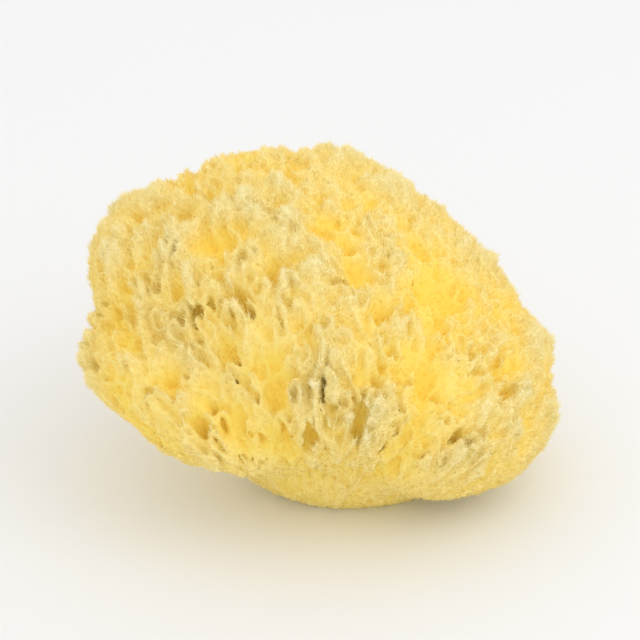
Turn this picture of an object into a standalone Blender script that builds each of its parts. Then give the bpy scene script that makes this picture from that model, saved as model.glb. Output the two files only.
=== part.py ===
# A natural sea sponge, grown as one piece and cut off flat where it stood on rock.
# Its surface is worked out in millimetres: rounded lobes join softly into a body, and
# lumps, tufts and pits run along the directions in which the sponge grew from its root.

import math

import bmesh
import bpy
from mathutils import Matrix

NODE = "sponge"
MM = 0.001

# Rounded lobes of the body, each with its centre, its radii, how far its right side
# leans down in degrees, and over what depth it joins the lobes before it.
LOBES = {
    "right flank": {"centre": (33, 0, 37), "radii": (44, 50, 36), "lean": 24, "blend": 0},
    "foot": {"centre": (10, -2, 19), "radii": (45, 33, 27), "lean": 0, "blend": 4},
    "crown": {"centre": (-2, 9, 59), "radii": (62, 60, 44), "lean": 20, "blend": 16},
    "front": {"centre": (2, -10, 48), "radii": (46, 42, 32), "lean": 10, "blend": 6},
    "left shoulder": {"centre": (-45, 11, 67), "radii": (28, 38, 26), "lean": 0, "blend": 5},
    "left fold": {"centre": (-33, -15, 44), "radii": (43, 38, 25), "lean": 24, "blend": 9},
}
SKIN_BACK = 2.5  # the mean surface lies this far inside the lobes, as tufts stand out to them

# Everything grows away from this point, and is long in that direction. At the reach the
# relief has the sizes given below. It is finer nearer the root and coarser further out.
ROOT = (3, -25, -28)
GROWTH_REACH = 80
GROWTH_STRETCH = 0.35

# Relief at the growth reach: a wavelength, a height and a count of finer octaves.
LUMPS = {"wavelength": 34, "height": 5, "octaves": 0}
TUFTS = {"wavelength": 10, "height": 12.5, "octaves": 1}
# Pits are round canals. Their radius is a share of their spacing.
PITS = {"spacing": 9, "radius": 0.45, "depth": 6}

# The surface is found on a grid of this pitch inside a box that clears it.
GRID_PITCH = 1.0
GRID_LOW = (-95, -80, -8)
GRID_HIGH = (95, 90, 120)
OUTSIDE = -10  # density given to all that lies beyond the grid
TRIANGLES = 9300

ROCK_SIDE = 0.3
# Brings the middle of the base to the origin.
STAND = (-0.29, -8.71, 0)

COLOUR = (0.871, 0.680, 0.205, 1)
ROUGHNESS = 0.9


def add(tree, kind, inputs, **settings):
    """Adds one node, sets or links its inputs, and returns it."""
    node = tree.nodes.new(kind)
    for name, value in settings.items():
        setattr(node, name, value)
    for key, value in inputs.items():
        if isinstance(value, bpy.types.NodeSocket):
            tree.links.new(value, node.inputs[key])
        else:
            node.inputs[key].default_value = value
    return node


def maths(tree, operation, *values):
    return add(tree, "ShaderNodeMath", dict(enumerate(values)), operation=operation).outputs[0]


def vector_maths(tree, operation, *values):
    node = add(tree, "ShaderNodeVectorMath", dict(enumerate(values)), operation=operation)
    return node.outputs["Value" if operation == "LENGTH" else "Vector"]


def lobe_distance(tree, position, lobe):
    """About how far a point lies outside one lobe."""
    offset = vector_maths(tree, "SUBTRACT", position, lobe["centre"])
    turn = {"Vector": offset, "Angle": -math.radians(lobe["lean"])}
    upright = add(tree, "ShaderNodeVectorRotate", turn, rotation_type="Y_AXIS").outputs[0]
    share = vector_maths(tree, "LENGTH", vector_maths(tree, "DIVIDE", upright, lobe["radii"]))
    return maths(tree, "MULTIPLY", maths(tree, "SUBTRACT", share, 1), min(lobe["radii"]))


def body_distance(tree, position):
    """About how far a point lies outside the joined lobes."""
    joined, *others = (lobe_distance(tree, position, lobe) for lobe in LOBES.values())
    for distance, lobe in zip(others, list(LOBES.values())[1:]):
        joined = maths(tree, "SMOOTH_MIN", joined, distance, lobe["blend"])
    return joined


def growth(tree, position):
    """The point as the pattern sees it, drawn in towards the root, and how coarse the relief is there."""
    outward = vector_maths(tree, "SUBTRACT", position, ROOT)
    reach = maths(tree, "DIVIDE", vector_maths(tree, "LENGTH", outward), GROWTH_REACH)
    coarseness = maths(tree, "POWER", reach, 1 - GROWTH_STRETCH)
    drawn_in = {0: outward, "Scale": maths(tree, "DIVIDE", 1, coarseness)}
    pattern = add(tree, "ShaderNodeVectorMath", drawn_in, operation="SCALE").outputs[0]
    return pattern, coarseness


def bumps(tree, pattern, settings):
    texture = {"Vector": pattern, "Scale": 1 / settings["wavelength"], "Detail": settings["octaves"]}
    noise = add(tree, "ShaderNodeTexNoise", texture).outputs[0]
    return maths(tree, "MULTIPLY", maths(tree, "SUBTRACT", noise, 0.5), settings["height"])


def pits(tree, pattern):
    texture = {"Vector": pattern, "Scale": 1 / PITS["spacing"]}
    cells = add(tree, "ShaderNodeTexVoronoi", texture).outputs["Distance"]
    bowl = {"Value": cells, "From Max": PITS["radius"], "To Min": PITS["depth"], "To Max": 0}
    return add(tree, "ShaderNodeMapRange", bowl, interpolation_type="SMOOTHSTEP").outputs[0]


def growth_tree():
    """The surface of the sponge as a mesh in millimetres."""
    tree = bpy.data.node_groups.new("grown sponge", "GeometryNodeTree")
    tree.interface.new_socket("Geometry", in_out="OUTPUT", socket_type="NodeSocketGeometry")
    position = add(tree, "GeometryNodeInputPosition", {}).outputs[0]
    pattern, coarseness = growth(tree, position)
    relief = pits(tree, pattern)
    for settings in (LUMPS, TUFTS):
        relief = maths(tree, "ADD", relief, bumps(tree, pattern, settings))
    outside = maths(tree, "ADD", body_distance(tree, position), SKIN_BACK)
    outside = maths(tree, "ADD", outside, maths(tree, "MULTIPLY", relief, coarseness))
    grid = {
        "Density": maths(tree, "MULTIPLY", outside, -1),
        "Background": OUTSIDE,
        "Min": GRID_LOW,
        "Max": GRID_HIGH,
    }
    for axis, low, high in zip("XYZ", GRID_LOW, GRID_HIGH):
        grid["Resolution " + axis] = round((high - low) / GRID_PITCH)
    volume = add(tree, "GeometryNodeVolumeCube", grid).outputs[0]
    skin = add(tree, "GeometryNodeVolumeToMesh", {"Volume": volume, "Threshold": 0}).outputs[0]
    tree.links.new(skin, tree.nodes.new("NodeGroupOutput").inputs[0])
    return tree


def keep_one_body(mesh):
    """Leaves out loose crumbs and closed hollows, and keeps the largest surface."""
    form = bmesh.new()
    form.from_mesh(mesh)
    unseen = set(form.verts)
    bodies = []
    while unseen:
        front = {unseen.pop()}
        body = set(front)
        while front:
            near = {edge.other_vert(vert) for vert in front for edge in vert.link_edges}
            front = near & unseen
            unseen -= front
            body |= front
        bodies.append(body)
    bodies.sort(key=len)
    crumbs = [vert for body in bodies[:-1] for vert in body]
    bmesh.ops.delete(form, geom=crumbs, context="VERTS")
    form.to_mesh(mesh)
    form.free()


def evaluated_mesh(obj):
    graph = bpy.context.evaluated_depsgraph_get()
    return bpy.data.meshes.new_from_object(obj.evaluated_get(graph))


def rock_cutter():
    """A block that takes away all that is below the ground."""
    mesh = bpy.data.meshes.new("rock cutter")
    form = bmesh.new()
    bmesh.ops.create_cube(form, size=ROCK_SIDE)
    bmesh.ops.translate(form, verts=form.verts, vec=(0, 0, -ROCK_SIDE / 2))
    form.to_mesh(mesh)
    form.free()
    cutter = bpy.data.objects.new("rock cutter", mesh)
    cutter.hide_render = True
    cutter.display_type = "WIRE"
    return cutter


def sponge_material():
    material = bpy.data.materials.new("natural sponge")
    material.use_nodes = True
    shader = material.node_tree.nodes["Principled BSDF"]
    shader.inputs["Base Color"].default_value = COLOUR
    shader.inputs["Roughness"].default_value = ROUGHNESS
    shader.inputs["Metallic"].default_value = 0
    return material


def grow_sponge(sponge):
    """Gives the object its full surface, in metres."""
    modifier = sponge.modifiers.new("grow", "NODES")
    modifier.node_group = growth_tree()
    mesh = evaluated_mesh(sponge)
    sponge.modifiers.remove(modifier)
    keep_one_body(mesh)
    mesh.transform(Matrix.Scale(MM, 4))
    sponge.data = mesh


def thin_and_cut(sponge, cutter):
    """Thins the mesh, then cuts it off flat at the ground."""
    fewer = sponge.modifiers.new("fewer faces", "DECIMATE")
    fewer.ratio = TRIANGLES / (2 * len(sponge.data.polygons))
    cut = sponge.modifiers.new("cut off the rock", "BOOLEAN")
    cut.operation = "DIFFERENCE"
    # The thinned surface crosses itself in a few creases, where the exact solver fails.
    cut.solver = "MANIFOLD"
    cut.object = cutter
    mesh = evaluated_mesh(sponge)
    sponge.modifiers.clear()
    keep_one_body(mesh)
    mesh.transform(Matrix.Translation([MM * side for side in STAND]))
    mesh.shade_smooth()
    sponge.data = mesh


def main():
    for obj in list(bpy.data.objects):
        bpy.data.objects.remove(obj)
    parts = bpy.data.collections.new("sea sponge")
    cutters = bpy.data.collections.new("cutters")
    cutters.hide_render = True
    bpy.context.scene.collection.children.link(parts)
    bpy.context.scene.collection.children.link(cutters)

    sponge = bpy.data.objects.new(NODE, bpy.data.meshes.new(NODE))
    parts.objects.link(sponge)
    cutter = rock_cutter()
    cutters.objects.link(cutter)
    grow_sponge(sponge)
    thin_and_cut(sponge, cutter)
    sponge.data.materials.clear()
    sponge.data.materials.append(sponge_material())


main()
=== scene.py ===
# A dry natural sea sponge: pale ragged tufts over golden pits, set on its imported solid.
import math

import bmesh
import bpy
from mathutils import Matrix, Vector


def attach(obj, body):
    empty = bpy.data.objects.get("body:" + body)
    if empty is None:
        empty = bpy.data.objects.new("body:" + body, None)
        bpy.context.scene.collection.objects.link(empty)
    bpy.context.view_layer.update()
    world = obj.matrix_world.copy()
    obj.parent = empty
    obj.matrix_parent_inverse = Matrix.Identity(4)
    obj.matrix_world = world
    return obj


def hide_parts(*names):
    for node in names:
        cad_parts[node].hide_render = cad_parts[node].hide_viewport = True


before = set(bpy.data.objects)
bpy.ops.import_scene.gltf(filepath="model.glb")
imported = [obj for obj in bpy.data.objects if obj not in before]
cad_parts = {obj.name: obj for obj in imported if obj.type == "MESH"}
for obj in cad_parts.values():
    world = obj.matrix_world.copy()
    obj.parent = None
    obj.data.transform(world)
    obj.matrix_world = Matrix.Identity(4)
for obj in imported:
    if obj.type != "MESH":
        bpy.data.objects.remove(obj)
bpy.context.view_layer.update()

mm = 0.001

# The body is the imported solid's own form, worked out in millimetres, with finer relief.
form = {
    "lobes": [
        # centre, radii, lean of the right side in degrees, depth of the join
        ((33, 0, 37), (44, 50, 36), 24, 0),       # right flank
        ((10, -2, 19), (45, 33, 27), 0, 4),       # foot
        ((-2, 9, 59), (62, 60, 44), 20, 16),      # crown
        ((2, -10, 48), (46, 42, 32), 10, 6),      # front
        ((-45, 11, 67), (28, 38, 26), 0, 5),      # left shoulder
        ((-33, -15, 44), (43, 38, 25), 24, 9),    # left fold
    ],
    "skinBack": 2.5,            # the mean surface lies this far inside the lobes
    "root": (3, -25, -28),      # all growth runs away from here
    "reach": 80,                # distance at which the relief has the sizes below
    "stretch": 0.35,
    "stand": (-0.29, -8.71, 0), # brings the middle of the base to the origin
}

sponge = {
    "pits": {"spacing": 9, "radius": 0.45, "depth": 6},
    # wavelength and height in millimetres, octaves
    "coarse": {"lumps": (34, 5, 0), "tufts": (10, 8, 1)},
    "fine": {"locks": (3.0, 3.0, 1), "strands": (1.3, 1.6, 1)},
    "webs": (3.5, 8.5),         # wavelength and height
    "webEdge": 0.08,            # share of the noise on each side of a web that stays raised
    # the relief stays within the first number, and turns round there over the second
    "tallest": (-3.5, 3),
    "deepest": (3.2, 3),
    "skin": {"low": 12, "high": 44, "relief": 0.4},   # heights, and the share of relief at the low one
    "gridPitch": 0.5,
    "gridLow": (-86, -66, -4),
    "gridHigh": (86, 80, 116),
    "beyondGrid": -10,          # density outside the grid
    "triangles": 190000,
}

fibres = {
    "perSquareMm": 4.5,         # where tufts stand out most
    "inPits": 0.1,              # share of that left deep in the pits
    "crowding": (-2, 3),        # how far a point stands out where they are fewest and most
    # real fibres are under 0.1 mm thick, too fine to show, so these are drawn coarser
    "width": (0.22, 0.45),
    "length": (0.8, 3),
    "sunk": 0.25,               # how deep a fibre's foot sits, as a share of its length
    "fromSurface": 0.6,         # pull of the surface's own direction against that of growth
    "stray": 0.55,              # largest random pull to any side
    "lowest": 2.5,              # none grow below this height, so the base stays flat
    "seed": 7,
    "middle": 8,                # the sides meet this far back, in millimetres
    # the bearing at which each side starts, in degrees
    "sides": {"front": -135, "right": -45, "back": 45, "left": 135},
}

# Painted shading by depth: the pit colour is painted shade, golden where light would bounce from wall to
# wall, the tip colour is a painted highlight, and the flank colour is the sponge's own. Each colour, and
# where it lies between the deepest point and the furthest out.
paintedShadingColours = {
    "pit": ("FECF26", 0.1),
    "flank": ("FEE370", 0.5),
    "tip": ("FDF3C2", 0.95),
}
paintedShadingDepths = (-7, 4)          # the deepest point and the furthest out, in millimetres


def linear(hexColour):
    channels = [int(hexColour[i:i + 2], 16) / 255 for i in (0, 2, 4)]
    return [c / 12.92 if c <= 0.04045 else ((c + 0.055) / 1.055) ** 2.4 for c in channels] + [1]


def addNode(tree, kind, inputs=None, **settings):
    node = tree.nodes.new(kind)
    for name, value in settings.items():
        setattr(node, name, value)
    for key, value in (inputs or {}).items():
        if isinstance(value, bpy.types.NodeSocket):
            tree.links.new(value, node.inputs[key])
        else:
            node.inputs[key].default_value = value
    return node


def maths(tree, operation, *values):
    return addNode(tree, "ShaderNodeMath", dict(enumerate(values)), operation=operation).outputs[0]


def vectorMaths(tree, operation, *values):
    node = addNode(tree, "ShaderNodeVectorMath", dict(enumerate(values)), operation=operation)
    return node.outputs["Value" if operation == "LENGTH" else "Vector"]


def scaled(tree, vector, factor):
    node = addNode(tree, "ShaderNodeVectorMath", {0: vector, "Scale": factor}, operation="SCALE")
    return node.outputs[0]


def lobeDistance(tree, position, lobe):
    centre, radii, lean, _ = lobe
    offset = vectorMaths(tree, "SUBTRACT", position, centre)
    turn = {"Vector": offset, "Angle": -math.radians(lean)}
    upright = addNode(tree, "ShaderNodeVectorRotate", turn, rotation_type="Y_AXIS").outputs[0]
    share = vectorMaths(tree, "LENGTH", vectorMaths(tree, "DIVIDE", upright, radii))
    return maths(tree, "MULTIPLY", maths(tree, "SUBTRACT", share, 1), min(radii))


def bodyDistance(tree, position):
    # about how far a point lies outside the mean surface
    joined = lobeDistance(tree, position, form["lobes"][0])
    for lobe in form["lobes"][1:]:
        joined = maths(tree, "SMOOTH_MIN", joined, lobeDistance(tree, position, lobe), lobe[3])
    return maths(tree, "ADD", joined, form["skinBack"])


def growth(tree, position):
    # the point drawn in towards the root, which stretches a pattern outwards
    outward = vectorMaths(tree, "SUBTRACT", position, form["root"])
    reach = maths(tree, "DIVIDE", vectorMaths(tree, "LENGTH", outward), form["reach"])
    coarseness = maths(tree, "POWER", reach, 1 - form["stretch"])
    return scaled(tree, outward, maths(tree, "DIVIDE", 1, coarseness)), coarseness


def bumps(tree, pattern, wavelength, height, octaves):
    texture = {"Vector": pattern, "Scale": 1 / wavelength, "Detail": octaves}
    noise = addNode(tree, "ShaderNodeTexNoise", texture).outputs[0]
    return maths(tree, "MULTIPLY", maths(tree, "SUBTRACT", noise, 0.5), height)


def pits(tree, pattern, spacing, radius, depth):
    texture = {"Vector": pattern, "Scale": 1 / spacing}
    cells = addNode(tree, "ShaderNodeTexVoronoi", texture).outputs["Distance"]
    bowl = {"Value": cells, "From Max": radius, "To Min": depth, "To Max": 0}
    return addNode(tree, "ShaderNodeMapRange", bowl, interpolation_type="SMOOTHSTEP").outputs[0]


def webs(tree, pattern, wavelength, height):
    # thin walls that stand along the growth, with hollows between them
    texture = {"Vector": pattern, "Scale": 1 / wavelength, "Detail": 0}
    noise = addNode(tree, "ShaderNodeTexNoise", texture, noise_dimensions="4D").outputs[0]
    off = maths(tree, "ABSOLUTE", maths(tree, "SUBTRACT", noise, 0.5))
    return maths(tree, "MULTIPLY", maths(tree, "SUBTRACT", off, sponge["webEdge"]), height)


def skinCalm(tree, position):
    # the low rim is closed by a smoother skin, so the relief fades there
    height = addNode(tree, "ShaderNodeSeparateXYZ", {0: position}).outputs["Z"]
    skin = sponge["skin"]
    fade = {"Value": height, "From Min": skin["low"], "From Max": skin["high"], "To Min": skin["relief"]}
    return addNode(tree, "ShaderNodeMapRange", fade, interpolation_type="SMOOTHSTEP").outputs[0]


def newTree(name, hasInput):
    tree = bpy.data.node_groups.new(name, "GeometryNodeTree")
    if hasInput:
        tree.interface.new_socket("Geometry", in_out="INPUT", socket_type="NodeSocketGeometry")
    tree.interface.new_socket("Geometry", in_out="OUTPUT", socket_type="NodeSocketGeometry")
    return tree


def finishTree(tree, geometry):
    tree.links.new(geometry, tree.nodes.new("NodeGroupOutput").inputs[0])
    return tree


def growTree():
    tree = newTree("grow sponge", False)
    position = addNode(tree, "GeometryNodeInputPosition").outputs[0]
    pattern, coarseness = growth(tree, position)
    relief = pits(tree, pattern, **sponge["pits"])
    for band in sponge["coarse"].values():
        relief = maths(tree, "ADD", relief, bumps(tree, pattern, *band))
    relief = maths(tree, "SMOOTH_MAX", relief, *sponge["tallest"])
    relief = maths(tree, "ADD", relief, webs(tree, pattern, *sponge["webs"]))
    for band in sponge["fine"].values():
        relief = maths(tree, "ADD", relief, bumps(tree, pattern, *band))
    relief = maths(tree, "SMOOTH_MIN", relief, *sponge["deepest"])
    share = maths(tree, "MULTIPLY", coarseness, skinCalm(tree, position))
    relief = maths(tree, "MULTIPLY", relief, share)
    outside = maths(tree, "ADD", bodyDistance(tree, position), relief)
    grid = {
        "Density": maths(tree, "MULTIPLY", outside, -1),
        "Background": sponge["beyondGrid"],
        "Min": sponge["gridLow"],
        "Max": sponge["gridHigh"],
    }
    for axis, low, high in zip("XYZ", sponge["gridLow"], sponge["gridHigh"]):
        grid["Resolution " + axis] = round((high - low) / sponge["gridPitch"])
    volume = addNode(tree, "GeometryNodeVolumeCube", grid).outputs[0]
    skin = addNode(tree, "GeometryNodeVolumeToMesh", {"Volume": volume, "Threshold": 0}).outputs[0]
    return finishTree(tree, largestBody(tree, skin))


def largestBody(tree, mesh):
    # leaves out loose crumbs and closed hollows
    island = addNode(tree, "GeometryNodeInputMeshIsland").outputs["Island Index"]
    counted = {"Value": 1, "Group ID": island}
    size = addNode(tree, "GeometryNodeAccumulateField", counted).outputs["Total"]
    compared = {"Geometry": mesh, "Attribute": size}
    most = addNode(tree, "GeometryNodeAttributeStatistic", compared).outputs["Max"]
    crumb = maths(tree, "LESS_THAN", size, maths(tree, "SUBTRACT", most, 0.5))
    return addNode(tree, "GeometryNodeDeleteGeometry", {"Geometry": mesh, "Selection": crumb}).outputs[0]


def evaluated(obj):
    graph = bpy.context.evaluated_depsgraph_get()
    return bpy.data.meshes.new_from_object(obj.evaluated_get(graph))


def bake(obj):
    mesh = evaluated(obj)
    obj.modifiers.clear()
    obj.data = mesh
    return mesh


def nodesModifier(obj, tree):
    obj.modifiers.new(tree.name, "NODES").node_group = tree


def newPiece(name, mesh=None):
    obj = bpy.data.objects.new(name, mesh or bpy.data.meshes.new(name))
    bpy.context.scene.collection.objects.link(obj)
    return obj


def depthTree():
    # keeps, for each point, how far in millimetres it stands out from the mean surface
    tree = newTree("standing out", True)
    incoming = tree.nodes.new("NodeGroupInput").outputs[0]
    position = addNode(tree, "GeometryNodeInputPosition").outputs[0]
    _, coarseness = growth(tree, position)
    standsOut = maths(tree, "DIVIDE", bodyDistance(tree, position), coarseness)
    stored = {"Geometry": incoming, "Name": "standsOut", "Value": standsOut}
    return finishTree(tree, addNode(tree, "GeometryNodeStoreNamedAttribute", stored).outputs[0])


def cutOffFlat(obj):
    rock = 2 * sponge["gridHigh"][0] + 100   # wider than the sponge, in millimetres
    bpy.ops.mesh.primitive_cube_add(size=rock, location=(0, 0, -rock / 2))
    cutter = bpy.context.object
    cut = obj.modifiers.new("flat base", "BOOLEAN")
    cut.operation = "DIFFERENCE"
    cut.solver = "MANIFOLD"
    cut.object = cutter
    bake(obj)
    bpy.data.objects.remove(cutter)


def makeBody():
    obj = newPiece("sponge")
    nodesModifier(obj, growTree())
    mesh = bake(obj)
    print("grown surface", len(mesh.polygons), "faces")
    fewer = obj.modifiers.new("fewer faces", "DECIMATE")
    fewer.ratio = sponge["triangles"] / (2 * len(mesh.polygons))
    bake(obj)
    cutOffFlat(obj)
    nodesModifier(obj, depthTree())
    mesh = bake(obj)
    mesh.shade_smooth()
    print("body", len(mesh.polygons), "faces")
    return obj


def fibreTree(start):
    # fine spikes on the tufts of one quarter of the sponge, mostly along the growth
    tree = newTree("fibres", True)
    incoming = tree.nodes.new("NodeGroupInput").outputs[0]
    position = addNode(tree, "GeometryNodeInputPosition").outputs[0]
    around = addNode(tree, "ShaderNodeSeparateXYZ", {0: position})
    back = maths(tree, "SUBTRACT", around.outputs["Y"], fibres["middle"])
    bearing = maths(tree, "ARCTAN2", back, around.outputs["X"])
    turned = maths(tree, "FLOORED_MODULO", maths(tree, "SUBTRACT", bearing, math.radians(start)), math.tau)
    here = maths(tree, "LESS_THAN", turned, math.tau / len(fibres["sides"]))
    clear = maths(tree, "GREATER_THAN", around.outputs["Z"], fibres["lowest"])
    standsOut = addNode(tree, "GeometryNodeInputNamedAttribute", {"Name": "standsOut"}).outputs[0]
    fewest, most = fibres["crowding"]
    crowding = {"Value": standsOut, "From Min": fewest, "From Max": most, "To Min": fibres["inPits"]}
    share = addNode(tree, "ShaderNodeMapRange", crowding, interpolation_type="SMOOTHSTEP").outputs[0]
    scattered = addNode(tree, "GeometryNodeDistributePointsOnFaces", {
        "Mesh": incoming,
        "Selection": maths(tree, "MULTIPLY", here, clear),
        "Density": maths(tree, "MULTIPLY", share, fibres["perSquareMm"]),
        "Seed": fibres["seed"],
    })
    outward = vectorMaths(tree, "NORMALIZE", vectorMaths(tree, "SUBTRACT", position, form["root"]))
    stray = addNode(tree, "FunctionNodeRandomValue", {
        0: (-fibres["stray"],) * 3, 1: (fibres["stray"],) * 3, "Seed": 1,
    }, data_type="FLOAT_VECTOR").outputs[0]
    offSurface = scaled(tree, scattered.outputs["Normal"], fibres["fromSurface"])
    lean = vectorMaths(tree, "ADD", outward, offSurface)
    lean = vectorMaths(tree, "ADD", lean, stray)
    rotation = addNode(tree, "FunctionNodeAlignRotationToVector", {"Vector": lean}, axis="Z").outputs[0]
    thinnest, widest = fibres["width"]
    shortest, longest = fibres["length"]
    width = addNode(tree, "FunctionNodeRandomValue", {2: thinnest, 3: widest, "Seed": 2}).outputs[1]
    length = addNode(tree, "FunctionNodeRandomValue", {2: shortest, 3: longest, "Seed": 3}).outputs[1]
    size = addNode(tree, "ShaderNodeCombineXYZ", {0: width, 1: width, 2: length})
    spike = addNode(tree, "GeometryNodeMeshCone", {
        "Vertices": 3, "Side Segments": 1, "Radius Top": 0, "Radius Bottom": 0.5, "Depth": 1,
    }).outputs["Mesh"]
    sunk = addNode(tree, "GeometryNodeTransform", {"Geometry": spike, "Translation": (0, 0, -fibres["sunk"])})
    copies = addNode(tree, "GeometryNodeInstanceOnPoints", {
        "Points": scattered.outputs["Points"],
        "Instance": sunk.outputs[0],
        "Rotation": rotation,
        "Scale": size.outputs[0],
    }).outputs[0]
    return finishTree(tree, addNode(tree, "GeometryNodeRealizeInstances", {"Geometry": copies}).outputs[0])


def makeFibres(body):
    pieces = []
    for side, start in fibres["sides"].items():
        piece = newPiece("fibres_" + side, body.data.copy())
        nodesModifier(piece, fibreTree(start))
        nodesModifier(piece, depthTree())
        mesh = bake(piece)
        mesh.calc_loop_triangles()
        print("fibres", side, len(mesh.loop_triangles), "triangles")
        pieces.append(piece)
    return pieces


def spongeMaterial():
    # bleached spongin, a dry network of fibres: matt, with painted light in its base colour: a cream painted
    # highlight on the outermost tufts and golden painted shade in the pits, standing in for light that goes
    # from wall to wall before it leaves
    material = bpy.data.materials.new("bleached spongin")
    material.use_nodes = True
    tree = material.node_tree
    shader = tree.nodes["Principled BSDF"]
    standsOut = addNode(tree, "ShaderNodeAttribute", attribute_name="standsOut").outputs["Fac"]
    deepest, furthest = paintedShadingDepths
    depth = {"Value": standsOut, "From Min": deepest, "From Max": furthest}
    share = addNode(tree, "ShaderNodeMapRange", depth)
    # the ramp paints shade into the pits and a highlight onto the tips, by how far each point stands out
    ramp = addNode(tree, "ShaderNodeValToRGB", {"Fac": share.outputs[0]})
    stops = ramp.color_ramp.elements
    stops.new(0.5)
    for stop, (hexColour, position) in zip(stops, paintedShadingColours.values()):
        stop.position = position
        stop.color = linear(hexColour)
    tree.links.new(ramp.outputs[0], shader.inputs["Base Color"])
    shader.inputs["Roughness"].default_value = 0.95
    shader.inputs["Specular IOR Level"].default_value = 0.2
    return material


def place(obj, material, node=None):
    # from the growth's millimetres to the frame's metres
    obj.data.transform(Matrix.Scale(mm, 4) @ Matrix.Translation(form["stand"]))
    obj.data.materials.clear()
    obj.data.materials.append(material)
    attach(obj, "root")
    if node:
        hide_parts(node)


studio = {
    "elevation": 30,            # the photograph looks down at about this angle
    "distance": 0.75,
    "lens": 135,
    "aim": (-0.0003, -0.0087, 0.0568),
    "world": 0.98,
    "keyPower": 0.6,
}


def lookAt(obj, target):
    direction = Vector(target) - obj.location
    obj.rotation_euler = direction.to_track_quat("-Z", "Y").to_euler()


def makeStudio():
    scene = bpy.context.scene
    scene.view_settings.view_transform = "Standard"
    elevation = math.radians(studio["elevation"])
    aim = Vector(studio["aim"])
    camera = bpy.data.objects.new("camera", bpy.data.cameras.new("camera"))
    scene.collection.objects.link(camera)
    camera.data.lens = studio["lens"]
    camera.data.sensor_width = 36
    camera.location = aim + studio["distance"] * Vector((0, -math.cos(elevation), math.sin(elevation)))
    lookAt(camera, aim)
    scene.camera = camera

    world = bpy.data.worlds.new("studio")
    world.use_nodes = True
    world.node_tree.nodes["Background"].inputs["Color"].default_value = (1, 1, 1, 1)
    world.node_tree.nodes["Background"].inputs["Strength"].default_value = studio["world"]
    scene.world = world

    key = bpy.data.objects.new("softbox", bpy.data.lights.new("softbox", "AREA"))
    scene.collection.objects.link(key)
    key.data.size = 0.5
    key.data.energy = studio["keyPower"]
    key.location = (0.4, -0.25, 0.6)
    lookAt(key, (0, 0, 0.05))

    floorMesh = bpy.data.meshes.new("floor")
    sheet = bmesh.new()
    bmesh.ops.create_grid(sheet, x_segments=1, y_segments=1, size=3)
    sheet.to_mesh(floorMesh)
    sheet.free()
    floor = newPiece("floor", floorMesh)
    paper = bpy.data.materials.new("white paper")
    paper.use_nodes = True
    paper.node_tree.nodes["Principled BSDF"].inputs["Base Color"].default_value = linear("F4F4F4")
    paper.node_tree.nodes["Principled BSDF"].inputs["Roughness"].default_value = 0.9
    floorMesh.materials.append(paper)


makeStudio()
body = makeBody()
fibrePieces = makeFibres(body)
spongin = spongeMaterial()
place(body, spongin, "sponge")
for piece in fibrePieces:
    place(piece, spongin)
print("pieces placed")
